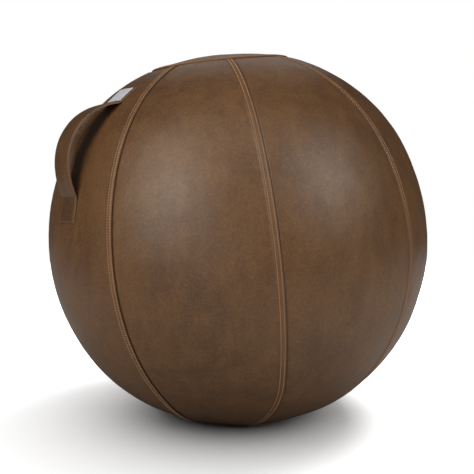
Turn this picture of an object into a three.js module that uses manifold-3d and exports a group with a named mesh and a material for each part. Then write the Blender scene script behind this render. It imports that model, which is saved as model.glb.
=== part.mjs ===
// A covered sitting ball: an inflatable ball inside a sewn leather-look cover of eight gores,
// with a round crown, a padded carry handle, and a flat anti-slip base that zips open over a
// stabilising ring. Millimetres, +Z up, origin at the middle of the base where it meets the floor.
import * as THREE from 'three';
import { mergeVertices } from 'three/addons/utils/BufferGeometryUtils.js';
import Module from 'manifold-3d';

const wasm = await Module();
wasm.setup();

// ---- Driving dimensions, millimetres and degrees ----
const BALL_RADIUS = 325;        // cover, at the equator
const CENTRE_HEIGHT = 303;      // ball centre above the floor: the base is pressed flat
const SHOULDER_SWELL = 0.0178;  // cover swells by this ratio half way from equator to crown
const CROWN_SINK = 0.012;       // sinks by this ratio at the crown
const BASE_SINK = 0.035;        // and would sink by this ratio at the lower pole
const LEAN = 6;                 // the filled cover leans this far towards -X above its level base
const LEAN_FULL_LATITUDE = -35; // the lean is complete above this latitude

const GORES = 8;
const FIRST_SEAM = 11;          // longitude of a seam; 0 is -Y, positive turns towards +X
const CROWN_LATITUDE = 69;      // edge of the round crown panel
const COVER_WALL = 2.2;
const SEW_GAP = 0.4;            // room between panels that are sewn edge to edge
const BLADDER_ROOM = 2;         // between cover and bladder
const BLADDER_WALL = 1.2;
const BLADDER_FLOOR = 32;       // underside of the bladder, above the ring

const BASE_THICKNESS = 7;       // padded anti-slip base panels
const BASE_INSET = 1.3;         // base panels end this far inside the foot of the gores
const ZIP_CHANNEL = 10;         // open strip between the two base panels
const RING_RADIUS = 82;
const RING_TUBE_RADIUS = 10.5;

const HANDLE_LONGITUDE = -54.2; // near the middle of its gore
const HANDLE_LATITUDE = 35.3;   // middle of the arch
const HANDLE_HALF_SPAN = 14.5;  // degrees from the middle of the arch to where it leaves the ball
const HANDLE_RISE = 33;         // underside of the strap above the cover
const HANDLE_WIDTH = 50;
const STRAP_THICKNESS = 3;
const GRIP_HALF_SPAN = 10.5;    // degrees: the part of the handle that swings
const GRIP_PAD_DEPTH = 18;
const GRIP_END_DEPTH = 3;
const GRIP_PAD_WIDTH = 46;
const WRAP_WALL = 1.5;          // leather around the grip foam
const WRAP_SHARE = 0.97;        // of the grip's length that the wrap covers
const FOAM_SHARE = 0.95;        // and that the foam fills
const TAB_LENGTH = 7.2;         // degrees of latitude sewn down at each end of the handle
const ARCH_SOFTNESS = 3;        // millimetres over which the strap eases off the cover

const LABEL_WIDTH = 42;
const LABEL_START = 0.6;        // degrees of latitude from the end of the arch
const LABEL_LENGTH = 5.6;       // degrees of latitude
const LABEL_THICKNESS = 0.8;

const GAP = 0.3;                // clearance between pieces that lie against each other

const degrees = THREE.MathUtils.degToRad;

// ---- Finishes ----
const leather = new THREE.MeshStandardMaterial({ color: 0x6b4d35, roughness: 0.5 });
const handleLeather = new THREE.MeshStandardMaterial({ color: 0x634632, roughness: 0.55 });
const antiSlip = new THREE.MeshStandardMaterial({ color: 0x1c1c1d, roughness: 0.9 });
const ringPlastic = new THREE.MeshStandardMaterial({ color: 0x2b2d30, roughness: 0.6 });
const bladderVinyl = new THREE.MeshStandardMaterial({ color: 0x5f6a70, roughness: 0.35 });
const valvePlastic = new THREE.MeshStandardMaterial({ color: 0xd8dadb, roughness: 0.45 });
const tapeFabric = new THREE.MeshStandardMaterial({ color: 0x2a211b, roughness: 0.85 });
const coilPlastic = new THREE.MeshStandardMaterial({ color: 0x3a2c22, roughness: 0.4 });
const zipMetal = new THREE.MeshStandardMaterial({ color: 0x8d8a84, roughness: 0.3, metalness: 1 });
const foam = new THREE.MeshStandardMaterial({ color: 0xc9c4b8, roughness: 0.95 });
const labelFabric = new THREE.MeshStandardMaterial({ color: 0xd3dbe8, roughness: 0.8 });

// ---- The shape of the ball ----

// Distance from the ball's centre to the outside of the cover.
function coverRadius(latitude) {
  if (latitude < 0) return BALL_RADIUS * (1 - BASE_SINK * Math.sin(degrees(latitude)) ** 6);
  const swell = SHOULDER_SWELL * Math.sin(degrees(2 * latitude)) ** 2;
  const sink = CROWN_SINK * Math.sin(degrees(latitude)) ** 20;
  return BALL_RADIUS * (1 + swell - sink);
}

// Latitude at which the cover meets the floor, found by halving the interval.
function findFootLatitude() {
  let low = -90;
  let high = -45;
  while (high - low > 1e-6) {
    const middle = (low + high) / 2;
    const height = CENTRE_HEIGHT + coverRadius(middle) * Math.sin(degrees(middle));
    if (height < 0) low = middle;
    else high = middle;
  }
  return high;
}

const FOOT_LATITUDE = findFootLatitude();
const FOOT_RADIUS = coverRadius(FOOT_LATITUDE) * Math.cos(degrees(FOOT_LATITUDE));

// A point at a radius from the centre, before the cover leans. The centre is the origin here.
function polar(longitude, latitude, radius) {
  const across = radius * Math.cos(degrees(latitude));
  return new THREE.Vector3(
    across * Math.sin(degrees(longitude)),
    -across * Math.cos(degrees(longitude)),
    radius * Math.sin(degrees(latitude)),
  );
}

// Turns a centred point by the lean, which fades out towards the base, and lifts it into place.
function settle(point) {
  const latitude = THREE.MathUtils.radToDeg(Math.atan2(point.z, Math.hypot(point.x, point.y)));
  const share = THREE.MathUtils.smoothstep(latitude, FOOT_LATITUDE, LEAN_FULL_LATITUDE);
  point.applyAxisAngle(new THREE.Vector3(0, 1, 0), degrees(-LEAN) * share);
  point.z += CENTRE_HEIGHT;
  return point;
}

function settleGeometry(geometry) {
  const position = geometry.getAttribute('position');
  const point = new THREE.Vector3();
  for (let i = 0; i < position.count; i += 1) {
    settle(point.fromBufferAttribute(position, i));
    position.setXYZ(i, point.x, point.y, point.z);
  }
  return geometry;
}

// ---- Geometry helpers ----

function signedVolume(geometry) {
  const position = geometry.getAttribute('position');
  const [a, b, c] = [new THREE.Vector3(), new THREE.Vector3(), new THREE.Vector3()];
  let volume = 0;
  for (let i = 0; i < geometry.index.count; i += 3) {
    a.fromBufferAttribute(position, geometry.index.getX(i));
    b.fromBufferAttribute(position, geometry.index.getX(i + 1));
    c.fromBufferAttribute(position, geometry.index.getX(i + 2));
    volume += a.dot(b.cross(c)) / 6;
  }
  return volume;
}

// Swaps two corners of every triangle when the faces point inwards.
function facingOut(geometry) {
  if (signedVolume(geometry) > 0) return geometry;
  const index = geometry.index;
  for (let i = 0; i < index.count; i += 3) {
    const second = index.getX(i + 1);
    index.setX(i + 1, index.getX(i + 2));
    index.setX(i + 2, second);
  }
  return geometry;
}

// A closed slab over a grid: place(u, v, side) gives a corner, with u and v from 0 to 1 and
// side 0 for one skin and 1 for the other. Four rims join the two skins.
function slab(columns, rows, place) {
  const vertices = [];
  const faces = [];
  const layer = (columns + 1) * (rows + 1);
  const at = (side, column, row) => side * layer + row * (columns + 1) + column;
  const quad = (a, b, c, d) => faces.push(a, b, c, a, c, d);
  for (const side of [0, 1]) {
    for (let row = 0; row <= rows; row += 1) {
      for (let column = 0; column <= columns; column += 1) {
        vertices.push(...place(column / columns, row / rows, side).toArray());
      }
    }
  }
  for (let row = 0; row < rows; row += 1) {
    for (let column = 0; column < columns; column += 1) {
      quad(at(0, column, row), at(0, column + 1, row), at(0, column + 1, row + 1), at(0, column, row + 1));
      quad(at(1, column, row), at(1, column, row + 1), at(1, column + 1, row + 1), at(1, column + 1, row));
    }
  }
  for (let column = 0; column < columns; column += 1) {
    quad(at(0, column, 0), at(1, column, 0), at(1, column + 1, 0), at(0, column + 1, 0));
    quad(at(0, column, rows), at(0, column + 1, rows), at(1, column + 1, rows), at(1, column, rows));
  }
  for (let row = 0; row < rows; row += 1) {
    quad(at(0, 0, row), at(0, 0, row + 1), at(1, 0, row + 1), at(1, 0, row));
    quad(at(0, columns, row), at(1, columns, row), at(1, columns, row + 1), at(0, columns, row + 1));
  }
  const geometry = new THREE.BufferGeometry();
  geometry.setAttribute('position', new THREE.Float32BufferAttribute(vertices, 3));
  geometry.setIndex(faces);
  return facingOut(geometry);
}

// A solid of revolution about Z from [radius, height] points.
function turned(profile, segments) {
  const points = profile.map(([radius, height]) => new THREE.Vector2(radius, height));
  return new THREE.LatheGeometry(points, segments).rotateX(Math.PI / 2);
}

function ring(radius, tubeRadius, aroundTube, aroundRing) {
  return new THREE.TorusGeometry(radius, tubeRadius, aroundTube, aroundRing);
}

function block(sizeX, sizeY, sizeZ, x, y, z) {
  return new THREE.BoxGeometry(sizeX, sizeY, sizeZ).translate(x, y, z);
}

function toManifold(geometry) {
  const bare = geometry.clone();
  bare.deleteAttribute('normal');
  bare.deleteAttribute('uv');
  const merged = mergeVertices(bare);
  return new wasm.Manifold(new wasm.Mesh({
    numProp: 3,
    vertProperties: Float32Array.from(merged.getAttribute('position').array),
    triVerts: Uint32Array.from(merged.index.array),
  }));
}

function fromManifold(solid) {
  const mesh = solid.getMesh();
  const geometry = new THREE.BufferGeometry();
  geometry.setAttribute('position', new THREE.BufferAttribute(mesh.vertProperties, 3));
  geometry.setIndex(new THREE.BufferAttribute(mesh.triVerts, 1));
  return geometry;
}

function join(...geometries) {
  return fromManifold(geometries.map(toManifold).reduce((sum, next) => sum.add(next)));
}

function cut(geometry, ...tools) {
  const solid = tools.map(toManifold).reduce((rest, tool) => rest.subtract(tool), toManifold(geometry));
  return fromManifold(solid);
}

function part(name, geometry, material) {
  const mesh = new THREE.Mesh(geometry, material.clone());
  mesh.name = name;
  return mesh;
}

// ---- Cover ----

// Angle that opens half a sewing gap at this latitude.
function halfGapAngle(latitude) {
  const across = coverRadius(latitude) * Math.cos(degrees(latitude));
  return THREE.MathUtils.radToDeg(SEW_GAP / 2 / across);
}

function gore(index) {
  const columns = 6;
  const rows = 18;
  const width = 360 / GORES;
  const start = FIRST_SEAM + index * width;
  const top = CROWN_LATITUDE - THREE.MathUtils.radToDeg(SEW_GAP / BALL_RADIUS);
  return slab(columns, rows, (u, v, side) => {
    const latitude = THREE.MathUtils.lerp(FOOT_LATITUDE, top, v);
    const inset = halfGapAngle(latitude);
    const longitude = THREE.MathUtils.lerp(start + inset, start + width - inset, u);
    return settle(polar(longitude, latitude, coverRadius(latitude) - side * COVER_WALL));
  });
}

function cover() {
  const group = new THREE.Group();
  for (let i = 0; i < GORES; i += 1) {
    group.add(part(`gore_panel_${i + 1}`, gore(i), leather));
  }
  return group;
}

// A dome from the pole to its edge latitude, in the leaning frame.
function crownPanel() {
  const steps = 5;
  const latitudes = Array.from({ length: steps + 1 }, (_, i) => 90 - (i * (90 - CROWN_LATITUDE)) / steps);
  const outline = (depth) => latitudes.map((latitude) => {
    const radius = coverRadius(latitude) - depth;
    return [radius * Math.cos(degrees(latitude)), radius * Math.sin(degrees(latitude))];
  });
  const profile = [...outline(0), ...outline(COVER_WALL).reverse()];
  profile[0][0] = 0;
  profile[profile.length - 1][0] = 0;
  return part('crown_panel', turned(profile.reverse(), 6 * GORES), leather);
}

// ---- Base: two padded half discs either side of the zip ----

function basePanel(name, side) {
  const radius = FOOT_RADIUS - BASE_INSET;
  const edge = ZIP_CHANNEL / 2;
  const start = Math.asin(edge / radius);
  const outline = new THREE.Shape();
  outline.absarc(0, 0, radius, start, Math.PI - start, false);
  outline.closePath();
  const geometry = new THREE.ExtrudeGeometry(outline, {
    depth: BASE_THICKNESS, bevelEnabled: false, curveSegments: 24,
  });
  if (side < 0) geometry.rotateZ(Math.PI);
  return part(name, geometry, antiSlip);
}

// ---- Zip across the base, along X, closed at -X ----

const ZIP_LENGTH = 176;
const COIL_LENGTH = ZIP_LENGTH - 8;
const COIL_GAP = 1.4;            // strip between the two coils that the slider's web runs in
const COIL_WIDTH = 2.4;
const COIL_HEIGHT = 2.2;
const COIL_BOTTOM = 4.7;
const TAPE_WIDTH = 15;
const TAPE_THICKNESS = 0.8;
const TAPE_BOTTOM = COIL_BOTTOM + COIL_HEIGHT + 2 * GAP;
const SLIDER_LENGTH = 10;
const SLIDER_WIDTH = 8;
const SLIDER_PLATE = 0.8;
const SLIDER_START = -76;        // middle of the slider with the zip closed
const PIN_HEIGHT = 2;            // pull tab's pin above the floor
const PIN_RADIUS = 0.6;
const LUG_LENGTH = 2;
const LUG_WIDTH = 1;
const EYE_RADIUS = 1.2;
const EYE_PLAY = 0.2;            // the eye's bore is this much larger than the pin, in radius
const PULL_LENGTH = 22;
const PULL_WIDTH = 4;
const PULL_THICKNESS = 1;
const PULL_END_RADIUS = 3;
const LOWER_PLATE_BOTTOM = COIL_BOTTOM - GAP - SLIDER_PLATE;
const UPPER_PLATE_BOTTOM = TAPE_BOTTOM + TAPE_THICKNESS + GAP;

function zipSide(hand, side) {
  const coilMiddle = side * (COIL_GAP + COIL_WIDTH) / 2;
  const tapeMiddle = side * (COIL_GAP + TAPE_WIDTH) / 2;
  const tapeHeight = TAPE_BOTTOM + TAPE_THICKNESS / 2;
  const coilHeight = COIL_BOTTOM + COIL_HEIGHT / 2;
  const tape = block(ZIP_LENGTH, TAPE_WIDTH, TAPE_THICKNESS, 0, tapeMiddle, tapeHeight);
  const coil = block(COIL_LENGTH, COIL_WIDTH, COIL_HEIGHT, 0, coilMiddle, coilHeight);
  return [
    part(`zip_tape_${hand}`, tape, tapeFabric),
    part(`zip_coil_${hand}`, coil, coilPlastic),
  ];
}

function zipStop(name, end) {
  const length = 2.5;
  const x = end * (COIL_LENGTH / 2 + GAP + length / 2);
  const width = COIL_GAP + 2 * COIL_WIDTH;
  return part(name, block(length, width, COIL_HEIGHT, x, 0, COIL_BOTTOM + COIL_HEIGHT / 2), zipMetal);
}

// Two plates joined by a thin web between the coils, and two lugs holding the pull's pin.
function zipSlider() {
  const webHeight = UPPER_PLATE_BOTTOM - LOWER_PLATE_BOTTOM + SLIDER_PLATE;
  const lugHeight = LOWER_PLATE_BOTTOM - PIN_HEIGHT + 2 * PIN_RADIUS;
  const lugMiddle = LOWER_PLATE_BOTTOM + SLIDER_PLATE / 2 - lugHeight / 2;
  const lugOffset = (PULL_WIDTH + LUG_WIDTH) / 2 + GAP;
  const pinX = SLIDER_LENGTH / 2 - LUG_LENGTH;
  const pin = new THREE.CylinderGeometry(PIN_RADIUS, PIN_RADIUS, 2 * lugOffset, 12);
  const pieces = [
    block(SLIDER_LENGTH, SLIDER_WIDTH, SLIDER_PLATE, 0, 0, LOWER_PLATE_BOTTOM + SLIDER_PLATE / 2),
    block(SLIDER_LENGTH, SLIDER_WIDTH, SLIDER_PLATE, 0, 0, UPPER_PLATE_BOTTOM + SLIDER_PLATE / 2),
    block(SLIDER_LENGTH / 2, COIL_GAP - 2 * GAP, webHeight, 0, 0, LOWER_PLATE_BOTTOM + webHeight / 2),
    block(LUG_LENGTH, LUG_WIDTH, lugHeight, pinX, lugOffset, lugMiddle),
    block(LUG_LENGTH, LUG_WIDTH, lugHeight, pinX, -lugOffset, lugMiddle),
    pin.translate(pinX, 0, PIN_HEIGHT),
  ];
  return part('zip_slider', join(...pieces).translate(SLIDER_START, 0, 0), zipMetal);
}

// A flat tab with a drilled eye around the slider's pin.
function zipPull() {
  const pinX = SLIDER_START + SLIDER_LENGTH / 2 - LUG_LENGTH;
  const boreRadius = PIN_RADIUS + EYE_PLAY;
  const eye = new THREE.CylinderGeometry(EYE_RADIUS, EYE_RADIUS, PULL_WIDTH, 20);
  const bore = new THREE.CylinderGeometry(boreRadius, boreRadius, PULL_WIDTH + 2, 20);
  const plate = block(PULL_LENGTH, PULL_WIDTH, PULL_THICKNESS, PULL_LENGTH / 2, 0, 0);
  const disc = new THREE.CylinderGeometry(PULL_END_RADIUS, PULL_END_RADIUS, PULL_THICKNESS, 20);
  const body = join(plate, eye, disc.rotateX(Math.PI / 2).translate(PULL_LENGTH, 0, 0));
  return part('zip_pull', cut(body, bore).translate(pinX, 0, PIN_HEIGHT), zipMetal);
}

function zip() {
  const group = new THREE.Group();
  group.add(...zipSide('rear', 1), ...zipSide('front', -1));
  group.add(zipStop('zip_stop_closed_end', -1), zipStop('zip_stop_open_end', 1));
  group.add(zipSlider(), zipPull());
  return group;
}

// ---- Inside: ring, bladder and valve ----

function stabilisingRing() {
  const bottom = UPPER_PLATE_BOTTOM + SLIDER_PLATE + GAP;
  const geometry = ring(RING_RADIUS, RING_TUBE_RADIUS, 12, 40).translate(0, 0, bottom + RING_TUBE_RADIUS);
  return part('stabilising_ring', geometry, ringPlastic);
}

const VALVE_HOLE_RADIUS = 6;

// Hollow ball with the valve hole underneath and a flat where it rests on the ring.
function bladder() {
  const steps = 18;
  const outline = (depth, floor) => {
    const edge = Math.atan2(floor - CENTRE_HEIGHT, VALVE_HOLE_RADIUS);
    const lowest = THREE.MathUtils.radToDeg(edge);
    return Array.from({ length: steps + 1 }, (_, i) => {
      const latitude = THREE.MathUtils.lerp(90, lowest, i / steps);
      const radius = coverRadius(latitude) - depth;
      const height = radius * Math.sin(degrees(latitude));
      const flat = floor - CENTRE_HEIGHT;
      const clipped = height < flat;
      const across = clipped ? flat / Math.tan(degrees(latitude)) : radius * Math.cos(degrees(latitude));
      return [i === 0 ? 0 : across, Math.max(height, flat)];
    });
  };
  const depth = COVER_WALL + BLADDER_ROOM;
  const outer = outline(depth, BLADDER_FLOOR);
  const inner = outline(depth + BLADDER_WALL, BLADDER_FLOOR + BLADDER_WALL);
  const profile = [...outer, ...inner.reverse()].reverse();
  return part('inflatable_bladder', settleGeometry(turned(profile, 32)), bladderVinyl);
}

const SEAT_BORE = 3.5;
const SEAT_DROP = 1.5;           // how far the collar shows below the bladder's floor
const FLANGE_RADIUS = 11;
const FLANGE_THICKNESS = 1.6;
const PLUG_RADIUS = 3.2;
const PLUG_HEAD_RADIUS = 6.5;
const PLUG_HEAD_THICKNESS = 2.2;
const VALVE_DEPTH = 15;          // how far the plug's stem reaches above the bladder's floor

// Rubber collar through the bladder's hole, with a flange inside the bladder.
function valveSeat() {
  const neck = VALVE_HOLE_RADIUS - GAP;
  const bottom = BLADDER_FLOOR - SEAT_DROP;
  const flange = BLADDER_FLOOR + BLADDER_WALL + GAP;
  const profile = [
    [SEAT_BORE, bottom],
    [neck, bottom],
    [neck, flange],
    [FLANGE_RADIUS, flange],
    [FLANGE_RADIUS, flange + FLANGE_THICKNESS],
    [neck, flange + FLANGE_THICKNESS],
    [neck - 0.6, BLADDER_FLOOR + VALVE_DEPTH],
    [SEAT_BORE, BLADDER_FLOOR + VALVE_DEPTH],
    [SEAT_BORE, bottom],
  ];
  return part('valve_seat', turned(profile, 24), valvePlastic);
}

function valvePlug() {
  const headTop = BLADDER_FLOOR - SEAT_DROP - GAP;
  const headBottom = headTop - PLUG_HEAD_THICKNESS;
  const profile = [
    [0, headBottom],
    [PLUG_HEAD_RADIUS - 0.6, headBottom],
    [PLUG_HEAD_RADIUS, headBottom + 0.6],
    [PLUG_HEAD_RADIUS, headTop],
    [PLUG_RADIUS, headTop],
    [PLUG_RADIUS, BLADDER_FLOOR + VALVE_DEPTH - 3],
    [PLUG_RADIUS - 1, BLADDER_FLOOR + VALVE_DEPTH - 1],
    [0, BLADDER_FLOOR + VALVE_DEPTH - 1],
  ];
  return part('valve_plug', turned(profile, 24), valvePlastic);
}

// ---- Handle, in the leaning frame with the ball's centre at the origin ----

// Height of the strap's underside above the cover: a low arch that eases into both tabs.
function archHeight(latitude) {
  const t = (latitude - HANDLE_LATITUDE) / HANDLE_HALF_SPAN;
  const arch = HANDLE_RISE * (1 - t * t);
  return 2 * GAP + (arch + Math.hypot(arch, ARCH_SOFTNESS)) / 2;
}

// A point on the handle: across is the distance from its centre line, rise the height above
// the strap's underside.
function handlePoint(latitude, across, rise) {
  const radius = coverRadius(latitude) + archHeight(latitude) + rise;
  const sideways = polar(HANDLE_LONGITUDE + 90, 0, across);
  const follow = Math.sqrt(radius * radius - across * across) / radius;
  const lift = THREE.MathUtils.smoothstep(archHeight(latitude), 0, HANDLE_RISE / 2);
  return polar(HANDLE_LONGITUDE, latitude, radius * THREE.MathUtils.lerp(follow, 1, lift)).add(sideways);
}

function strapSection(name, fromLatitude, toLatitude) {
  const columns = 4;
  const rows = Math.ceil(toLatitude - fromLatitude);
  const geometry = slab(columns, rows, (u, v, side) => {
    const latitude = THREE.MathUtils.lerp(fromLatitude, toLatitude, v);
    return handlePoint(latitude, HANDLE_WIDTH * (u - 0.5), side * STRAP_THICKNESS);
  });
  return part(name, geometry, handleLeather);
}

// Half-round section under the strap; its depth holds along the grip and tapers near both ends.
function gripPoint(along, around, inset) {
  const latitude = HANDLE_LATITUDE + GRIP_HALF_SPAN * along;
  const depth = Math.max(GRIP_PAD_DEPTH * (1 - along ** 4), GRIP_END_DEPTH) - inset;
  const across = (GRIP_PAD_WIDTH / 2 - inset) * Math.cos(Math.PI * around);
  return handlePoint(latitude, across, -GAP - depth * Math.sin(Math.PI * around));
}

function gripWrap() {
  const geometry = slab(8, 14, (u, v, side) => gripPoint(WRAP_SHARE * (2 * v - 1), u, side * WRAP_WALL));
  return part('handle_grip_wrap', geometry, handleLeather);
}

// Fills the middle three quarters of the half-round section.
function gripFoam() {
  const inset = WRAP_WALL + 3 * GAP;
  const geometry = slab(6, 14, (u, v, side) => {
    const along = FOAM_SHARE * (2 * v - 1);
    const around = THREE.MathUtils.lerp(1 / 8, 7 / 8, u);
    const lower = gripPoint(along, around, inset);
    if (side === 0) return lower;
    const across = (GRIP_PAD_WIDTH / 2 - inset) * Math.cos(Math.PI * around);
    return handlePoint(HANDLE_LATITUDE + GRIP_HALF_SPAN * along, across, -2 * GAP);
  });
  return part('handle_foam', geometry, foam);
}

function handle() {
  const group = new THREE.Group();
  const lowEnd = HANDLE_LATITUDE - HANDLE_HALF_SPAN;
  const highEnd = HANDLE_LATITUDE + HANDLE_HALF_SPAN;
  const swingGap = 0.2;
  const gripLow = HANDLE_LATITUDE - GRIP_HALF_SPAN;
  const gripHigh = HANDLE_LATITUDE + GRIP_HALF_SPAN;
  group.add(strapSection('handle_lower_tab', lowEnd - TAB_LENGTH, gripLow - swingGap));
  group.add(strapSection('handle_strap', gripLow, gripHigh));
  group.add(strapSection('handle_upper_tab', gripHigh + swingGap, highEnd + TAB_LENGTH));
  group.add(gripWrap(), gripFoam());
  return group;
}

// Woven label on the upper tab.
function labelPatch() {
  const low = HANDLE_LATITUDE + HANDLE_HALF_SPAN + LABEL_START;
  const high = low + LABEL_LENGTH;
  const geometry = slab(4, 4, (u, v, side) => {
    const rise = STRAP_THICKNESS + 2 * GAP + side * LABEL_THICKNESS;
    return handlePoint(THREE.MathUtils.lerp(low, high, v), LABEL_WIDTH * (u - 0.5), rise);
  });
  return part('label_patch', geometry, labelFabric);
}

// ---- Assembly ----

// Crown, handle and label sit on the part of the cover that leans as one.
const leaning = new THREE.Group();
leaning.position.z = CENTRE_HEIGHT;
leaning.rotation.y = degrees(-LEAN);
leaning.add(crownPanel(), handle(), labelPatch());

const ball = new THREE.Group();
ball.add(cover(), leaning);
ball.add(basePanel('base_panel_rear', 1), basePanel('base_panel_front', -1));
ball.add(zip());
ball.add(stabilisingRing(), bladder(), valveSeat(), valvePlug());

export default ball;
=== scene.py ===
"""Looks of the covered sitting ball: sewn leather-look cover, padded handle, zipped base, insides."""
import math

import bmesh
import bpy
import numpy as np
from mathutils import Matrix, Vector


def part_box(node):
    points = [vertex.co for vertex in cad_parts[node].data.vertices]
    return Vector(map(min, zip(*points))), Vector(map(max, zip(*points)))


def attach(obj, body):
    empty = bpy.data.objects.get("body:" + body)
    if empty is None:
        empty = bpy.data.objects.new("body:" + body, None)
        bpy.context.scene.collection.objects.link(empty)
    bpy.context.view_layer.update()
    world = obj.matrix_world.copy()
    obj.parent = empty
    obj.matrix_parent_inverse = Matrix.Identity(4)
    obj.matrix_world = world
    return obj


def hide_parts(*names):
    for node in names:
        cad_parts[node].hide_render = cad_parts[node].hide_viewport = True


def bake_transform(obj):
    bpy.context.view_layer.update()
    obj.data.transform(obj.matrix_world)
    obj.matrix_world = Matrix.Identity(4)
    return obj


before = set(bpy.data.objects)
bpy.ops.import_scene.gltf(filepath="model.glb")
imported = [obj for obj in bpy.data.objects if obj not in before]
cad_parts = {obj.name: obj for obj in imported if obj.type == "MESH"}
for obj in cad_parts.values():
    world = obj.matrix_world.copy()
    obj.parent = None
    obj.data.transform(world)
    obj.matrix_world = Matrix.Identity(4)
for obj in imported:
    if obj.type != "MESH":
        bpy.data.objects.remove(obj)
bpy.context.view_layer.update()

MM = 0.001

# ---- Driving sizes, in metres and radians; the cover and handle have the CAD's shape ----
BALL_RADIUS = 325 * MM
CENTRE_HEIGHT = 303 * MM
SHOULDER_SWELL = 0.0178
CROWN_SINK = 0.012
BASE_SINK = 0.035
LEAN = math.radians(6)
LEAN_FULL_LATITUDE = math.radians(-35)
GORES = 8
GORE_ANGLE = 2 * math.pi / GORES
FIRST_SEAM = math.radians(11)
CROWN_LATITUDE = math.radians(69)
LEATHER = 2.2 * MM

# Felled seams: the allowance lies under one side, held by two rows of topstitching.
EDGE_ROLL = 1.0 * MM  # radius of the folded edge beside the groove
FELL_WIDTH = 10.2 * MM
FELL_MIDDLE = 5.7 * MM  # between its two rows of stitches, from the edge
FELL_HEIGHT = 1.1 * MM
GROOVE_DEPTH = 1.2 * MM
TUCK_WIDTH = 5 * MM  # the plain side curves down into the groove over this width
CALM_WIDTH = 20 * MM  # swells in the leather fade out this near to a seam
STITCH_ROWS = (2.8 * MM, 8.7 * MM)
STITCH_PITCH = 4.1 * MM
STITCH_LENGTH = 2.7 * MM
STITCH_BOW = 0.7 * MM  # a stitch's middle stands this far above its ends
STITCH_SLANT = 0.3
THREAD_RADIUS = 0.68 * MM
HANDLE_THREAD_RADIUS = 0.45 * MM

HANDLE_LONGITUDE = math.radians(-54.2)
HANDLE_LATITUDE = math.radians(35.3)
HANDLE_HALF_SPAN = math.radians(14.5)
HANDLE_RISE = 33 * MM
HANDLE_WIDTH = 50 * MM
STRAP_THICKNESS = 3 * MM
TAB_LENGTH = math.radians(7.2)
GRIP_HALF_SPAN = math.radians(10.2)
GRIP_DEPTH = 18 * MM
GRIP_END_DEPTH = 3 * MM
GRIP_WIDTH = 46 * MM
ARCH_SOFTNESS = 3 * MM
STRAP_CROWN = 0.9 * MM  # the padded arch swells this much along its middle
TAB_PRESS = 0.9 * MM  # the sewn-down tabs are pressed thinner than the strap
LABEL_WIDTH = 42 * MM
LABEL_START = math.radians(0.6)
LABEL_LENGTH = math.radians(5.6)
LABEL_THICKNESS = 0.8 * MM

UP = np.array([0.0, 0.0, 1.0])


# ---- Small maths on arrays ----

def smoothstep(low, high, x):
    t = np.clip((x - low) / (high - low), 0, 1)
    return t * t * (3 - 2 * t)


def bump(x, middle, width):
    return np.exp(-(((x - middle) / width) ** 2))


def unit(vectors):
    return vectors / np.linalg.norm(vectors, axis=-1, keepdims=True)


NOISE_WAVES = 14


def soft_noise(points, wavelength, seed):
    """Smooth noise of about -1 to 1: a sum of plane waves in seeded directions."""
    rng = np.random.default_rng(seed)
    directions = unit(rng.normal(size=(NOISE_WAVES, 3)))
    scales = 2 * math.pi / (wavelength * rng.uniform(0.7, 1.5, NOISE_WAVES))
    phases = rng.uniform(0, 2 * math.pi, NOISE_WAVES)
    waves = (np.sin(points @ direction * scale + phase)
             for direction, scale, phase in zip(directions, scales, phases))
    return sum(waves) / math.sqrt(NOISE_WAVES)


# ---- The shape of the ball ----

def cover_radius(latitude):
    upper, lower = np.maximum(latitude, 0), np.minimum(latitude, 0)
    swell = SHOULDER_SWELL * np.sin(2 * upper) ** 2
    sink = CROWN_SINK * np.sin(upper) ** 20 + BASE_SINK * np.sin(lower) ** 6
    return BALL_RADIUS * (1 + swell - sink)


def find_foot_latitude():
    low, high = math.radians(-90), math.radians(-45)
    while high - low > 1e-9:
        middle = (low + high) / 2
        if CENTRE_HEIGHT + cover_radius(middle) * math.sin(middle) < 0:
            low = middle
        else:
            high = middle
    return high


FOOT_LATITUDE = find_foot_latitude()


def grid_points(x, y, z):
    return np.stack(np.broadcast_arrays(x, y, z), -1)


def polar(longitude, latitude, radius):
    across = radius * np.cos(latitude)
    return grid_points(across * np.sin(longitude), -across * np.cos(longitude), radius * np.sin(latitude))


def turn_about_y(points, angle):
    cosine, sine = np.cos(angle), np.sin(angle)
    x, y, z = points[..., 0], points[..., 1], points[..., 2]
    return np.stack([x * cosine + z * sine, y, z * cosine - x * sine], -1)


def settle(points):
    """Leans centred points, less towards the base, and lifts them to their place above the floor."""
    latitude = np.arctan2(points[..., 2], np.hypot(points[..., 0], points[..., 1]))
    share = smoothstep(FOOT_LATITUDE, LEAN_FULL_LATITUDE, latitude)
    return turn_about_y(points, -LEAN * share) + CENTRE_HEIGHT * UP


def cover_point(longitude, latitude, rise=0.0):
    return settle(polar(longitude, latitude, cover_radius(latitude) + rise))


# ---- Mesh helpers ----

def make_object(name, vertices, faces, material, sharp=50):
    mesh = bpy.data.meshes.new(name)
    mesh.from_pydata([tuple(v) for v in vertices], [], faces)
    mesh.validate()
    shell = bmesh.new()
    shell.from_mesh(mesh)
    bmesh.ops.recalc_face_normals(shell, faces=shell.faces)
    shell.to_mesh(mesh)
    shell.free()
    mesh.materials.append(material)
    mesh.polygons.foreach_set("use_smooth", [True] * len(mesh.polygons))
    mesh.set_sharp_from_angle(angle=math.radians(sharp))
    obj = bpy.data.objects.new(name, mesh)
    bpy.context.scene.collection.objects.link(obj)
    return obj


def store_wear_and_painted_light(obj, wear_and_highlight, painted_shade, shape):
    """Stores a panel's wear and painted highlight, and its painted shade, alike on both faces of this shape.
    """
    for name, values in (("wear_and_highlight", wear_and_highlight), ("painted_shade", painted_shade)):
        face = np.broadcast_to(np.clip(values, 0, 1), shape).ravel()
        every = np.zeros(len(obj.data.vertices), np.float32)
        every[:2 * face.size] = np.tile(face, 2)
        obj.data.attributes.new(name, "FLOAT", "POINT").data.foreach_set("value", every)


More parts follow.
